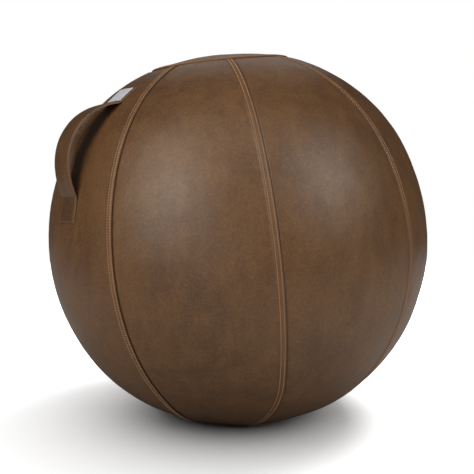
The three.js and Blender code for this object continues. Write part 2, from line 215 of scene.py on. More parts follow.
def grid_faces(rows, columns, offset=0, wrap=False, flip=False):
    faces = []
    for row in range(rows - 1):
        for column in range(columns if wrap else columns - 1):
            following = (column + 1) % columns
            a, b = offset + row * columns + column, offset + row * columns + following
            quad = (a, b, b + columns, a + columns)
            faces.append(quad[::-1] if flip else quad)
    return faces


def tube_faces(rings, sides, flip=False):
    """The wall of a tube and a cap at each end."""
    low, high = range(sides), range((rings - 1) * sides, rings * sides)
    caps = [tuple(low), tuple(reversed(high))] if flip else [tuple(reversed(low)), tuple(high)]
    return grid_faces(rings, sides, wrap=True, flip=flip) + caps


def loft(name, rings, material, sharp=50):
    """A closed body through rings that have the same number of points."""
    faces = tube_faces(len(rings), len(rings[0]))
    return make_object(name, np.concatenate(rings), faces, material, sharp)


def slab(name, outer, inner, material, sharp=50):
    """A closed body between two grids of points of the same shape, outer seen from outside with
    columns to the right and rows upwards."""
    rows, columns = outer.shape[:2]
    count = rows * columns
    faces = grid_faces(rows, columns) + grid_faces(rows, columns, count, flip=True)
    grid = np.arange(count).reshape(rows, columns)
    edge = np.concatenate([grid[0], grid[1:, -1], grid[-1, -2::-1], grid[-2:0:-1, 0]]).tolist()
    for here, following in zip(edge, edge[1:] + edge[:1]):
        faces.append((following, here, here + count, following + count))
    vertices = np.concatenate([outer.reshape(-1, 3), inner.reshape(-1, 3)])
    return make_object(name, vertices, faces, material, sharp)


def turned(name, profile, segments, material, place=lambda points: points, sharp=40):
    """A body of revolution about Z from (radius, height) points, closed on the axis or on itself."""
    vertices, faces, rings = [], [], []
    for radius, height in profile:
        count = segments if radius > 0 else 1
        rings.append(range(len(vertices), len(vertices) + count))
        angles = (2 * math.pi * i / segments for i in range(count))
        vertices += [(radius * math.cos(angle), radius * math.sin(angle), height) for angle in angles]
    rings += rings[:1] if profile[0][0] > 0 else []
    for low, high in zip(rings, rings[1:]):
        for i in range(segments):
            corners = [ring[k % len(ring)] for ring, k in ((low, i), (low, i + 1), (high, i + 1), (high, i))]
            faces.append(tuple(dict.fromkeys(corners)))
    return make_object(name, place(np.array(vertices)), faces, material, sharp)


def capsule_template(length, radius, bow, stations=7, sides=6):
    """Vertices (along, side, up) and faces of one stitch: thick in the middle, ends pulled down."""
    along = np.linspace(-1, 1, stations)
    rings = []
    for x in along:
        thickness = radius * math.sqrt(max(1 - 0.86 * x * x, 0))
        lift = bow * (1 - x * x) - bow * 0.6
        for i in range(sides):
            angle = 2 * math.pi * i / sides
            rings.append((x * length / 2, thickness * math.cos(angle), lift + thickness * math.sin(angle)))
    return np.array(rings), tube_faces(stations, sides, flip=True)


def scatter(name, template, centres, along, side, up, material):
    """One mesh holding a copy of the template at every centre."""
    shape, faces = template
    placed = (centres[:, None] + shape[None, :, :1] * along[:, None]
              + shape[None, :, 1:2] * side[:, None] + shape[None, :, 2:] * up[:, None])
    count = len(shape)
    every = [tuple(i * count + v for v in face) for i in range(len(centres)) for face in faces]
    return make_object(name, placed.reshape(-1, 3), every, material)


def stitch_row(name, path, outward, material, radius=THREAD_RADIUS):
    """Stitches at an even pitch along a polyline path, lying on the side that outward points to."""
    steps = np.linalg.norm(np.diff(path, axis=0), axis=1)
    distance = np.concatenate([[0], np.cumsum(steps)])
    number = max(int(distance[-1] / STITCH_PITCH), 1)
    where = (np.arange(number) + 0.5) * distance[-1] / number

    def at(values, s):
        return np.stack([np.interp(s, distance, values[:, axis]) for axis in range(3)], -1)

    centres = at(path, where)
    ahead = at(path, np.minimum(where + 0.5 * MM, distance[-1]))
    back = at(path, np.maximum(where - 0.5 * MM, 0))
    up = unit(at(outward, where))
    along = unit(ahead - back)
    side = unit(np.cross(up, along))
    along = unit(along + STITCH_SLANT * side)
    side = np.cross(up, along)
    template = capsule_template(STITCH_LENGTH, radius, STITCH_BOW)
    return scatter(name, template, centres, along, side, up, material)


def join_objects(name, objects):
    """Joins meshes made of separate bodies into one object."""
    vertices, faces, offset = [], [], 0
    for obj in objects:
        mesh = obj.data
        vertices.extend(tuple(v.co) for v in mesh.vertices)
        faces.extend(tuple(offset + i for i in p.vertices) for p in mesh.polygons)
        offset += len(mesh.vertices)
    material = objects[0].data.materials[0]
    for obj in objects:
        bpy.data.objects.remove(obj)
    return make_object(name, vertices, faces, material)


def mount(obj, body, slot, *nodes):
    """Puts a piece on its body and hides the CAD nodes that it stands for. The slot is not used."""
    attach(obj, body)
    if nodes:
        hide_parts(*nodes)


# ---- Materials ----

class Nodes:
    """A material's node tree with short ways to add and wire nodes."""

    def __init__(self, name):
        self.material = bpy.data.materials.new(name)
        self.material.use_nodes = True
        self.tree = self.material.node_tree
        self.shader = self.tree.nodes["Principled BSDF"]

    def add(self, kind, **values):
        node = self.tree.nodes.new(kind)
        for key, value in values.items():
            if key in node.inputs:
                self.feed(node.inputs[key], value)
            else:
                setattr(node, key, value)
        return node

    def feed(self, socket, value):
        if isinstance(value, bpy.types.NodeSocket):
            self.tree.links.new(value, socket)
        else:
            socket.default_value = value

    def set(self, **values):
        for key, value in values.items():
            self.feed(self.shader.inputs[key.replace("_", " ")], value)

    def position(self):
        return self.add("ShaderNodeTexCoord").outputs["Object"]

    def noise(self, vector, scale, detail=4.0, roughness=0.55, distortion=0.0):
        node = self.add("ShaderNodeTexNoise", Vector=vector, Scale=scale, Detail=detail,
                        Roughness=roughness, Distortion=distortion)
        return node.outputs["Fac"]

    def cells(self, vector, scale, feature="F1"):
        node = self.add("ShaderNodeTexVoronoi", Vector=vector, Scale=scale)
        node.feature = feature
        return node.outputs["Distance"]

    def math(self, operation, a, b=0.0):
        node = self.add("ShaderNodeMath")
        node.operation = operation
        self.feed(node.inputs[0], a)
        self.feed(node.inputs[1], b)
        return node.outputs[0]

    def spread(self, value, low, high, new_low=0.0, new_high=1.0):
        node = self.add("ShaderNodeMapRange")
        for socket, number in zip(node.inputs, (value, low, high, new_low, new_high)):
            self.feed(socket, number)
        return node.outputs[0]

    def mix(self, factor, a, b, blend="MIX"):
        node = self.add("ShaderNodeMix")
        node.data_type = "RGBA"
        node.blend_type = blend
        colours = [s for s in node.inputs if s.type == "RGBA"]
        self.feed(node.inputs[0], factor)
        for socket, value in zip(colours, (a, b)):
            self.feed(socket, value)
        return next(s for s in node.outputs if s.type == "RGBA")

    def attribute(self, name):
        return self.add("ShaderNodeAttribute", attribute_name=name).outputs["Fac"]

    def bump(self, height, distance, strength=1.0, normal=None):
        node = self.add("ShaderNodeBump", Strength=strength, Distance=distance, Height=height)
        if normal is not None:
            self.feed(node.inputs["Normal"], normal)
        return node.outputs["Normal"]


def colour(red, green, blue):
    """An sRGB colour of 0 to 255 as linear RGBA."""
    def linear(value):
        value /= 255
        return value / 12.92 if value <= 0.04045 else ((value + 0.055) / 1.055) ** 2.4
    return (linear(red), linear(green), linear(blue), 1.0)


def shade(tint, share):
    """A colour at a share of its brightness."""
    return tuple(share * c for c in tint[:3]) + (1.0,)


# Tints laid on the leather: a light tan for wear and painted highlight on ridges and edges, and a dark brown
# for painted shade in grooves, stitch rows and joints.
WORN_AND_HIGHLIT_LEATHER = colour(158, 102, 58)
PAINTED_SHADE_LEATHER = colour(56, 38, 24)


def leather_material(name, light, middle, dark):
    """Waxed leather-look: faint brown clouds, vertical rubbing, fine pebbled grain and pores, with wear and
    painted highlight and painted shade laid on from the mesh's attributes.
    """
    n = Nodes(name)
    place = n.position()
    stretched = n.add("ShaderNodeVectorMath", operation="MULTIPLY")
    n.feed(stretched.inputs[0], place)
    stretched.inputs[1].default_value = (1, 1, 0.35)
    clouds = n.noise(place, 8.0, 5.0, 0.6, 0.3)
    streaks = n.noise(stretched.outputs[0], 42.0, 5.0, 0.62, 0.2)
    speckle = n.noise(place, 260.0, 4.0, 0.7)
    wobble = n.add("ShaderNodeTexNoise", Vector=place, Scale=90.0).outputs["Color"]
    pebbles = n.cells(n.mix(0.035, place, wobble), 560.0)
    creases = n.noise(place, 110.0, 6.0, 0.62, 0.4)
    pores = n.noise(place, 1400.0, 2.0, 0.5)
    deep = shade(dark, 0.5)
    base = n.mix(n.spread(clouds, 0.36, 0.66), dark, middle)
    for pattern, low, high, share, tint in (
            (streaks, 0.4, 0.72, 0.75, light), (speckle, 0.48, 0.66, 0.35, deep),
            (speckle, 0.5, 0.34, 0.5, light), (pebbles, 0.4, 0.75, 0.45, deep), (pores, 0.5, 0.7, 0.3, deep)):
        base = n.mix(n.spread(pattern, low, high, 0.0, share), base, tint)
    # Wear and painted highlight come from one attribute, then painted shade from the other.
    wear_and_highlight = n.attribute("wear_and_highlight")
    base = n.mix(n.math("MULTIPLY", wear_and_highlight, n.spread(streaks, 0.3, 0.6, 0.3, 0.75)), base, WORN_AND_HIGHLIT_LEATHER)
    base = n.mix(n.attribute("painted_shade"), base, PAINTED_SHADE_LEATHER)
    normal = n.bump(pebbles, 0.25 * MM, 0.5)
    normal = n.bump(creases, 0.6 * MM, 0.35, normal)
    normal = n.bump(pores, 0.08 * MM, 0.3, normal)
    rough = n.spread(n.math("ADD", clouds, n.math("MULTIPLY", speckle, 0.5)), 0.55, 1.0, 0.38, 0.46)
    rough = n.math("ADD", rough, n.math("MULTIPLY", wear_and_highlight, 0.25))
    n.set(Base_Color=base, Roughness=rough, Normal=normal, Specular_IOR_Level=0.85)
    n.set(Specular_Tint=(1.0, 0.92, 0.8, 1.0))
    return n.material


def thread_material(name, tint):
    n = Nodes(name)
    place = n.position()
    fleck = n.noise(place, 900.0, 2.0)
    base = n.mix(n.spread(fleck, 0.3, 0.7), tint, shade(tint, 0.6))
    twist = n.noise(place, 2600.0, 2.0)
    n.set(Base_Color=base, Roughness=0.6, Normal=n.bump(twist, 0.15 * MM, 0.6))
    n.set(Sheen_Weight=0.3)
    return n.material


def woven_material(name, tint, pitch):
    """Plain weave: two crossed waves raise warp and weft in turn."""
    n = Nodes(name)
    place = n.position()
    fuzz = n.noise(place, 700.0, 3.0)
    warp, weft = (n.add("ShaderNodeTexWave", Vector=place, Scale=0.5 / pitch, bands_direction=axis)
                  for axis in ("X", "DIAGONAL"))
    weave = n.math("MULTIPLY", warp.outputs["Fac"], weft.outputs["Fac"])
    height = n.spread(n.math("ADD", weave, n.math("MULTIPLY", fuzz, 0.5)), 0.1, 1.1)
    # Painted shade: the weave's low threads are darker, and the fuzz adds random tone.
    base = n.mix(height, shade(tint, 0.7), tint)
    normal = n.bump(n.math("ADD", weave, n.math("MULTIPLY", fuzz, 0.4)), 0.12 * MM, 0.7)
    n.set(Base_Color=base, Roughness=0.85, Normal=normal, Sheen_Weight=0.2)
    return n.material


def moulded_material(name, tint, roughness, relief, scale=260.0, metallic=0.0):
    """Moulded or plated surface with fine texture and slight handling marks."""
    n = Nodes(name)
    place = n.position()
    marks = n.noise(place, 35.0, 5.0, 0.6)
    texture = n.noise(place, scale, 3.0, 0.55)
    base = n.mix(n.spread(marks, 0.35, 0.65), shade(tint, 0.82), tint)
    rough = n.spread(marks, 0.3, 0.7, roughness * 0.85, roughness * 1.15)
    n.set(Base_Color=base, Roughness=rough, Metallic=metallic, Normal=n.bump(texture, relief, 0.5))
    return n.material


COVER_LEATHER = leather_material(
    "cover_leather", colour(142, 100, 58), colour(126, 86, 49), colour(106, 71, 43))
# A darker copy of the cover's leather for the handle: painted shade against the stronger light that falls on
# the handle.
DARKENED_HANDLE_LEATHER = leather_material(
    "handle_leather", colour(124, 88, 56), colour(108, 75, 46), colour(90, 62, 39))
THREAD = thread_material("topstitch_thread", colour(234, 178, 124))
HANDLE_THREAD = thread_material("handle_thread", colour(172, 120, 76))
FOAM = moulded_material("handle_foam", colour(205, 200, 188), 0.95, 0.6 * MM, 900.0)
LABEL = woven_material("label_fabric", colour(246, 248, 254), 0.7 * MM)
BASE_FABRIC = woven_material("anti_slip", colour(38, 38, 40), 1.1 * MM)
RUBBER = moulded_material("anti_slip_dots", colour(24, 24, 25), 0.6, 0.1 * MM)
TAPE = woven_material("zip_tape", colour(46, 36, 30), 0.9 * MM)
COIL = moulded_material("zip_coil", colour(58, 45, 36), 0.35, 0.03 * MM)
METAL = moulded_material("zip_metal", colour(150, 146, 138), 0.28, 0.02 * MM, 400.0, 1.0)
RING = moulded_material("ring_plastic", colour(44, 46, 50), 0.55, 0.12 * MM)
VINYL = moulded_material("bladder_vinyl", colour(98, 110, 118), 0.35, 0.2 * MM, 60.0)
VALVE_RUBBER = moulded_material("valve_rubber", colour(208, 208, 204), 0.6, 0.05 * MM)
VALVE_PLASTIC = moulded_material("valve_plastic", colour(222, 223, 224), 0.4, 0.03 * MM)


# ---- Cover ----

GORE_ROWS = 340
PLAIN_STEPS = np.array([0.15, 0.5, 1, 1.6, 2.4, 3.4, 4.6, 6.2, 8.5, 11.5, 15]) * MM
FELL_STEPS = np.array([0.15, 0.3, 0.5, 0.75, 1.05, 1.5, 1.9, 2.3, 2.8, 3.3, 3.8, 4.8, 6, 7.2, 7.8, 8.3,
                       8.7, 9.1, 9.6, 10.2, 10.9, 11.7, 12.8, 14.5, 17]) * MM
MIDDLE_COLUMNS = 22
CROWN_COLUMNS = 360
CROWN_LAP = 0.5 * MM  # the crown's edge stands this much higher where it laps the gores
CROWN_LAP_WIDTH = 14 * MM
STITCH_LIFT = 0.1 * MM  # the stitches' middle line above the leather
FOOT_FLAT = 20 * MM  # the weight presses the seams flat this far above the floor


def felled_relief(distance):
    """Height of the felled side at a distance from the groove."""
    roll = np.sqrt(1 - (1 - np.clip(distance / EDGE_ROLL, 0, 1)) ** 2)
    edge = (FELL_HEIGHT + GROOVE_DEPTH) * roll - GROOVE_DEPTH
    plateau = 1 - smoothstep(FELL_WIDTH - 0.6 * MM, FELL_WIDTH + 2.6 * MM, distance)
    sunk = sum(0.5 * MM * bump(distance, row, 0.75 * MM) for row in STITCH_ROWS)
    between = 0.25 * MM * bump(distance, sum(STITCH_ROWS) / 2, 3 * MM)
    return np.where(distance < FELL_WIDTH / 2, edge, FELL_HEIGHT * plateau) - sunk + between


def plain_relief(distance):
    """Height of the side that tucks under, at a distance from the groove."""
    return -GROOVE_DEPTH * (1 - smoothstep(0, TUCK_WIDTH, distance)) ** 2


def undulation(points):
    """Soft hollows and swells of filled leather."""
    return 0.45 * MM * soft_noise(points, 0.13, 3) + 0.14 * MM * soft_noise(points, 0.035, 5)


def seam_pull(distance, points):
    """Short ripples where the stitching gathers the leather, fading away from the seam."""
    return 0.16 * MM * soft_noise(points, 0.016, 9) * np.exp(-distance / (9 * MM))


def cover_panel(longitude, latitude, relief):
    """The outside and inside of a panel; its grooves show faintly on the inside."""
    outer = cover_point(longitude, latitude, relief)
    inner = cover_point(longitude, latitude, np.minimum(relief, 0) * 0.3 - LEATHER)
    return outer, inner


def needle_row_shade(distance):
    """Painted shade: dark bands along the two rows of needle holes, where the stitches sink in."""
    return 0.45 * sum(bump(distance, row, 1 * MM) for row in STITCH_ROWS)


def gore_grid(index):
    """Longitudes, latitudes and distances from a gore's two seams, its columns closer at the seams."""
    latitude = np.linspace(FOOT_LATITUDE, CROWN_LATITUDE, GORE_ROWS)[:, None]
    reach = cover_radius(latitude) * np.cos(latitude)
    width = reach * GORE_ANGLE
    share = np.linspace(0, 1, MIDDLE_COLUMNS + 2)[1:-1]
    middle = PLAIN_STEPS[-1] + share * (width - PLAIN_STEPS[-1] - FELL_STEPS[-1])
    plain = np.broadcast_to(PLAIN_STEPS, (GORE_ROWS, len(PLAIN_STEPS)))
    to_plain = np.concatenate([plain, middle, width - FELL_STEPS[::-1]], 1)
    longitude = FIRST_SEAM + index * GORE_ANGLE + to_plain / reach
    return longitude, latitude, to_plain, width - to_plain


def gore_relief(longitude, latitude, to_plain, to_fell, to_crown):
    base = cover_point(longitude, latitude)
    relief = np.where(to_plain < to_fell, plain_relief(to_plain), felled_relief(to_fell))
    nearest = np.minimum(to_plain, to_fell)
    relief = relief + undulation(base) * smoothstep(0, CALM_WIDTH, nearest)
    relief = relief + seam_pull(nearest, base)
    under_crown = 1 - smoothstep(0, TUCK_WIDTH, to_crown)
    relief = relief * (1 - under_crown) - 0.7 * GROOVE_DEPTH * under_crown
    return relief * smoothstep(0, FOOT_FLAT, (latitude - FOOT_LATITUDE) * BALL_RADIUS)


def gore(index):
    longitude, latitude, to_plain, to_fell = gore_grid(index)
    to_crown = (CROWN_LATITUDE - latitude) * cover_radius(latitude)
    relief = gore_relief(longitude, latitude, to_plain, to_fell, to_crown)
    obj = slab(f"gore_{index + 1}_leather", *cover_panel(longitude, latitude, relief), COVER_LEATHER)
    # Painted shade in the groove, under the crown's edge and along the needle rows; wear and painted
    # highlight on the folded edge and between the rows.
    groove = bump(np.minimum(to_plain, to_fell), 0, 0.8 * MM)
    wear_and_highlight = 0.9 * bump(to_fell, 1.1 * MM, 1.0 * MM) + 0.3 * bump(to_fell, FELL_MIDDLE, 3.2 * MM)
    painted_shade = 0.8 * groove + 0.2 * bump(to_crown, 0, 1 * MM) + needle_row_shade(to_fell)
    store_wear_and_painted_light(obj, wear_and_highlight, painted_shade, longitude.shape)
    mount(obj, "ball", "cover_leather", f"gore_panel_{index + 1}")


def topstitch(name, line):
    """Both rows of a felled seam; line gives a row's longitude, latitude and rise on the cover."""
    rows = []
    for row in STITCH_ROWS:
        path = cover_point(*line(row))
        rows.append(stitch_row(f"row_{row}", path, path - CENTRE_HEIGHT * UP, THREAD))
    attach(join_objects(name, rows), "ball")


def gore_stitches(index):
    seam = FIRST_SEAM + (index + 1) * GORE_ANGLE
    latitude = np.linspace(FOOT_LATITUDE + FOOT_FLAT / BALL_RADIUS, CROWN_LATITUDE - 0.012, 700)
    reach = cover_radius(latitude) * np.cos(latitude)
    topstitch(f"gore_{index + 1}_topstitch",
              lambda row: (seam - row / reach, latitude, felled_relief(np.array(row)) + STITCH_LIFT))


def crown_grid():
    """Longitudes, latitudes and distances from the crown's edge, in rings from the edge inwards."""
    distance = np.concatenate([FELL_STEPS, np.linspace(26, 110, 26) * MM])
    to_pole = math.pi / 2 - CROWN_LATITUDE
    latitude = CROWN_LATITUDE + distance / (to_pole * cover_radius(CROWN_LATITUDE)) * to_pole
    latitude = latitude[latitude < math.radians(89.6)]
    longitude = np.linspace(0, 2 * math.pi, CROWN_COLUMNS, endpoint=False)
    longitude, latitude = np.meshgrid(longitude, latitude)
    return longitude, latitude, distance[:len(latitude), None]


def crown_faces(rows, columns):
    """Faces of two stacked rings of leather, a fan at each pole and the rim between them."""
    count = rows * columns
    top, low = 2 * count, 2 * count + 1
    last = (rows - 1) * columns
    faces = grid_faces(rows, columns, wrap=True) + grid_faces(rows, columns, count, wrap=True, flip=True)
    for i in range(columns):
        j = (i + 1) % columns
        faces.append((last + i, last + j, top))
        faces.append((count + last + j, count + last + i, low))
        faces.append((j, i, count + i, count + j))
    return faces


def crown():
    """Round top panel, its felled edge lying over the gores."""
    longitude, latitude, distance = crown_grid()
    base = cover_point(longitude, latitude)
    relief = felled_relief(distance) + CROWN_LAP * bump(distance, 0, CROWN_LAP_WIDTH)
    relief = relief + undulation(base) * smoothstep(0, CALM_WIDTH, distance) + seam_pull(distance, base)
    outer, inner = cover_panel(longitude, latitude, relief)
    poles = cover_point(np.array([0.0, 0.0]), np.full(2, math.pi / 2), np.array([0, -LEATHER]))
    vertices = np.concatenate([outer.reshape(-1, 3), inner.reshape(-1, 3), poles])
    obj = make_object("crown_leather", vertices, crown_faces(*longitude.shape), COVER_LEATHER)
    # Wear and painted highlight on the folded edge and between the rows; painted shade at the crown's edge
    # and along the needle rows.
    wear_and_highlight = bump(distance, 1.1 * MM, 1.0 * MM) + 0.6 * bump(distance, FELL_MIDDLE, 3.4 * MM)
    painted_shade = 0.3 * bump(distance, 0, 0.8 * MM) + needle_row_shade(distance)
    store_wear_and_painted_light(obj, wear_and_highlight, painted_shade, longitude.shape)
    mount(obj, "ball", "cover_leather", "crown_panel")


def crown_stitches():
    longitude = np.linspace(0, 2 * math.pi, 1200)

    def line(row):
        latitude = np.full_like(longitude, CROWN_LATITUDE + row / cover_radius(CROWN_LATITUDE))
        lap = CROWN_LAP * bump(row, 0, CROWN_LAP_WIDTH)
        return longitude, latitude, felled_relief(np.array(row)) + lap + STITCH_LIFT

    topstitch("crown_topstitch", line)


# ---- Handle ----

def arch_height(latitude):
    """Height of the strap's underside above the cover."""
    t = (latitude - HANDLE_LATITUDE) / HANDLE_HALF_SPAN
    arch = HANDLE_RISE * (1 - t * t)
    return 0.6 * MM + (arch + np.hypot(arch, ARCH_SOFTNESS)) / 2


def handle_point(latitude, across, rise):
    """across is the distance from the handle's centre line, rise the height above the underside."""
    radius = cover_radius(latitude) + arch_height(latitude) + rise
    follow = np.sqrt(radius ** 2 - across ** 2) / radius
    lift = smoothstep(0, HANDLE_RISE / 2, arch_height(latitude))
    sideways = polar(HANDLE_LONGITUDE + math.pi / 2, 0.0, 1.0)
    middle = polar(HANDLE_LONGITUDE, latitude, radius * (follow + (1 - follow) * lift))
    centred = middle + np.asarray(across)[..., None] * sideways
    return turn_about_y(centred, -LEAN) + CENTRE_HEIGHT * UP


def arch_end(side):
    """Latitude where the arch meets its lower (-1) or upper (1) tab."""
    return HANDLE_LATITUDE + side * HANDLE_HALF_SPAN


def tab_end(side):
    return arch_end(side) + side * TAB_LENGTH


def tabbed(latitude):
    """1 where the strap is sewn down flat, 0 along the arch."""
    return 1 - smoothstep(0, 6 * MM, arch_height(latitude))


EDGE_STEPS = np.array([0, 0.25, 0.6, 1.1, 1.7, 2.3, 2.9, 3.5, 4.2, 5.5, 8, 12, 17]) * MM
STRAP_EDGE = 1.5 * MM  # radius of the strap's turned edges
STRAP_STITCH = 3 * MM  # stitch line inside the strap's edge
STRAP_SINK = 0.5 * MM  # the sewn-down tabs press into the cover
WRAP_WALL = 1.5 * MM
FOAM_INSET = 2.4 * MM  # foam inside the wrap's outer face


def turned_edge(distance, radius):
    """0 at an edge rising to 1 over its radius, as a quarter circle."""
    return np.sqrt(1 - (1 - np.clip(distance / radius, 0, 1)) ** 2)


def strap_grid(side):
    """Latitudes by distances across for half of the strap, closer together at its edges."""
    near_end = (tab_end(side) - HANDLE_LATITUDE) * side
    end_steps = EDGE_STEPS / BALL_RADIUS
    latitude = np.concatenate([near_end - end_steps, np.linspace(near_end - end_steps[-1], 0, 110)[1:]])
    across = EDGE_STEPS - HANDLE_WIDTH / 2
    across = np.concatenate([across, np.linspace(across[-1], 0, 4)[1:]])
    across = np.concatenate([across, -across[-2::-1]])
    return np.sort(HANDLE_LATITUDE + side * latitude)[:, None], across[None, :]


def strap_sunk(latitude, nearest, side):
    """How far each point is pressed in by the edge rows and by the row across the tab's mouth."""
    box_row = np.abs(latitude - arch_end(side)) * BALL_RADIUS
    return np.maximum(bump(nearest, STRAP_STITCH, 0.9 * MM), 0.9 * bump(box_row, 0, 0.9 * MM))


def padded(rise, across, tab):
    """The strap's rise, pressed down at its tabs and swelling along the middle of its arch."""
    return rise - TAB_PRESS * tab + STRAP_CROWN * (1 - (across / (HANDLE_WIDTH / 2)) ** 2) * (1 - tab)


def strap_half(hand, side):
    """Half of the strap, from its tab's end to the middle of the handle."""
    latitude, across = strap_grid(side)
    to_end = np.abs(latitude - tab_end(side)) * BALL_RADIUS
    nearest = np.minimum(HANDLE_WIDTH / 2 - np.abs(across), to_end)
    tab = tabbed(latitude)
    sunk = strap_sunk(latitude, nearest, side)
    top = STRAP_THICKNESS * (0.3 + 0.7 * turned_edge(nearest, STRAP_EDGE))
    top = padded(top, across, tab) - 0.45 * MM * sunk
    top = top + 0.2 * MM * soft_noise(handle_point(latitude, across, np.zeros_like(top)), 0.03, 11)
    outer = handle_point(latitude, across, top)
    inner = handle_point(latitude, across, np.broadcast_to(-STRAP_SINK * tab, top.shape))
    obj = slab(f"handle_{hand}_strap", outer, inner, DARKENED_HANDLE_LEATHER)
    # Wear and painted highlight along the strap's turned edges and on its arch; painted shade in its stitch
    # rows.
    store_wear_and_painted_light(obj, 0.35 * bump(nearest, 0.8 * MM, 0.8 * MM) + 0.1 * (1 - tab), 0.6 * sunk, top.shape)
    bend_handle(obj, side)
    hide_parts(f"handle_{hand}_tab", "handle_strap")


def bend_handle(obj, side):
    """Works out two points along the arch, which nothing uses, and bakes the piece's transform into its mesh.
    """
    inside_tab = HANDLE_HALF_SPAN - math.radians(0.4)
    start = handle_point(np.array(HANDLE_LATITUDE + side * inside_tab), 0.0, 0.0)
    end = handle_point(np.array(HANDLE_LATITUDE + side * GRIP_HALF_SPAN), 0.0, 0.0)
    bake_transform(obj)


def strap_surface(latitude, across):
    """Points and outward directions on the strap's outer face along a line of stitches."""
    rise = padded(STRAP_THICKNESS - 0.35 * MM, across, tabbed(latitude))
    path = handle_point(latitude, across, rise)
    before = handle_point(latitude - 0.002, across, rise)
    after = handle_point(latitude + 0.002, across, rise)
    sideways = turn_about_y(polar(HANDLE_LONGITUDE + math.pi / 2, 0.0, 1.0), -LEAN)
    return path, unit(np.cross(sideways, unit(after - before)))


def strap_stitches(hand, side):
    """Edge rows and the box at the tab, for one half of the strap."""
    edge = HANDLE_WIDTH / 2 - STRAP_STITCH
    tab_row = tab_end(side) - side * (STRAP_STITCH / BALL_RADIUS)
    latitude = np.linspace(tab_row, HANDLE_LATITUDE, 400)
    across = np.linspace(-edge, edge, 60)
    lines = [strap_surface(latitude, np.full_like(latitude, x)) for x in (-edge, edge)]
    lines += [strap_surface(np.full_like(across, row), across) for row in (tab_row, arch_end(side))]
    rows = [stitch_row(f"row_{i}", path, up, HANDLE_THREAD, HANDLE_THREAD_RADIUS)
            for i, (path, up) in enumerate(lines)]
    obj = join_objects(f"handle_{hand}_stitching", rows)
    bend_handle(obj, side)


def grip_point(along, around, inset):
    """around runs from 0 to 1 below the strap, from one edge to the other."""
    latitude = HANDLE_LATITUDE + GRIP_HALF_SPAN * along
    depth = np.maximum(GRIP_DEPTH * (1 - along ** 4), GRIP_END_DEPTH) - inset
    cosine, sine = np.cos(math.pi * around), np.sin(math.pi * around)
    across = (GRIP_WIDTH / 2 - inset) * np.sign(cosine) * np.abs(cosine) ** 0.82
    return handle_point(latitude, across, -0.1 * MM - depth * np.abs(sine) ** 0.72)


def grip_wrap():
    """Leather of the padded underside, gathered along both edges."""
    along = np.linspace(1, -1, 120)[:, None]
    around = 0.5 - 0.5 * np.cos(np.linspace(0, math.pi, 49))[None, :]
    to_edge = 1 - np.abs(2 * around - 1)
    skin = grip_point(along, around, 0.0)
    puckers = 0.28 * MM * soft_noise(skin, 0.012, 21) * np.exp(-(to_edge * 9))
    swell = 0.35 * MM * soft_noise(skin, 0.05, 22) + puckers
    outer, inner = grip_point(along, around, swell), grip_point(along, around, WRAP_WALL)
    obj = slab("handle_grip_wrap_leather", outer, inner, DARKENED_HANDLE_LEATHER)
    # Wear and painted highlight on the middle of the underside; painted shade along its gathered edges
    # against the strap.
    store_wear_and_painted_light(obj, 0.2 * to_edge, 0.5 * np.exp(-to_edge * 30), outer.shape[:2])
    mount(obj, "handle_grip", "handle_leather", "handle_grip_wrap")


def grip_foam():
    """Foam between the strap and the wrap."""
    along = 0.95 * np.linspace(1, -1, 120)[:, None]
    around = 0.5 - 0.5 * np.cos(np.linspace(0, math.pi, 49))[None, :]
    around = np.clip(around, 0.06, 0.94)
    across = (GRIP_WIDTH / 2 - FOAM_INSET) * np.cos(math.pi * around)
    upper = handle_point(HANDLE_LATITUDE + GRIP_HALF_SPAN * along, across, -0.6 * MM)
    obj = slab("handle_grip_foam", grip_point(along, around, FOAM_INSET), upper, FOAM)
    mount(obj, "handle_grip", "handle_foam", "handle_foam")


def label():
    """Blank woven label sewn on the upper tab, its edges folded under."""
    low = arch_end(1) + LABEL_START
    high = low + LABEL_LENGTH
    latitude = np.linspace(low, high, 60)[:, None]
    across = np.linspace(-LABEL_WIDTH / 2, LABEL_WIDTH / 2, 70)[None, :]
    to_end = np.minimum(latitude - low, high - latitude) * BALL_RADIUS
    to_edge = np.minimum(LABEL_WIDTH / 2 - np.abs(across), to_end)
    seat = STRAP_THICKNESS - TAB_PRESS
    rise = seat + LABEL_THICKNESS * (0.35 + 0.65 * turned_edge(to_edge, 0.7 * MM))
    rise = rise + 0.3 * MM * bump(to_edge, 2.2 * MM, 1 * MM)
    outer = handle_point(latitude, across, rise)
    inner = handle_point(latitude, across, np.broadcast_to(seat - 0.05 * MM, rise.shape))
    obj = slab("label_patch_woven", outer, inner, LABEL)
    mount(obj, "ball", "label_fabric", "label_patch")


# ---- Base ----

def at_height(outline, height):
    """The points of a flat outline at one height."""
    return np.column_stack([outline, np.full(len(outline), height)])


def plate(name, outline, low, high, bevel, material, place=lambda points: points):
    """A closed body over a convex outline (counter-clockwise), with bevelled rims."""
    outline = np.asarray(outline, float)
    middle = outline.mean(0)
    shrink = 1 - bevel / np.linalg.norm(outline - middle, axis=1).mean()
    levels = [(shrink, low), (1 - (1 - shrink) * 0.3, low + bevel * 0.3), (1, low + bevel),
              (1, high - bevel), (1 - (1 - shrink) * 0.3, high - bevel * 0.3), (shrink, high)]
    rings = [place(at_height(middle + (outline - middle) * scale, height)) for scale, height in levels]
    return loft(name, rings, material, 35)


def arc_points(centre_x, centre_y, radius, start, end, steps):
    angles = np.radians(np.linspace(start, end, steps))
    return [(centre_x + radius * math.cos(a), centre_y + radius * math.sin(a)) for a in angles]


def rounded_box(size_x, size_y, radius, steps=6):
    x, y = size_x / 2 - radius, size_y / 2 - radius
    corners = ((x, y, 0), (-x, y, 90), (-x, -y, 180), (x, -y, 270))
    return [point for cx, cy, start in corners
            for point in arc_points(cx, cy, radius, start, start + 90, steps + 1)]


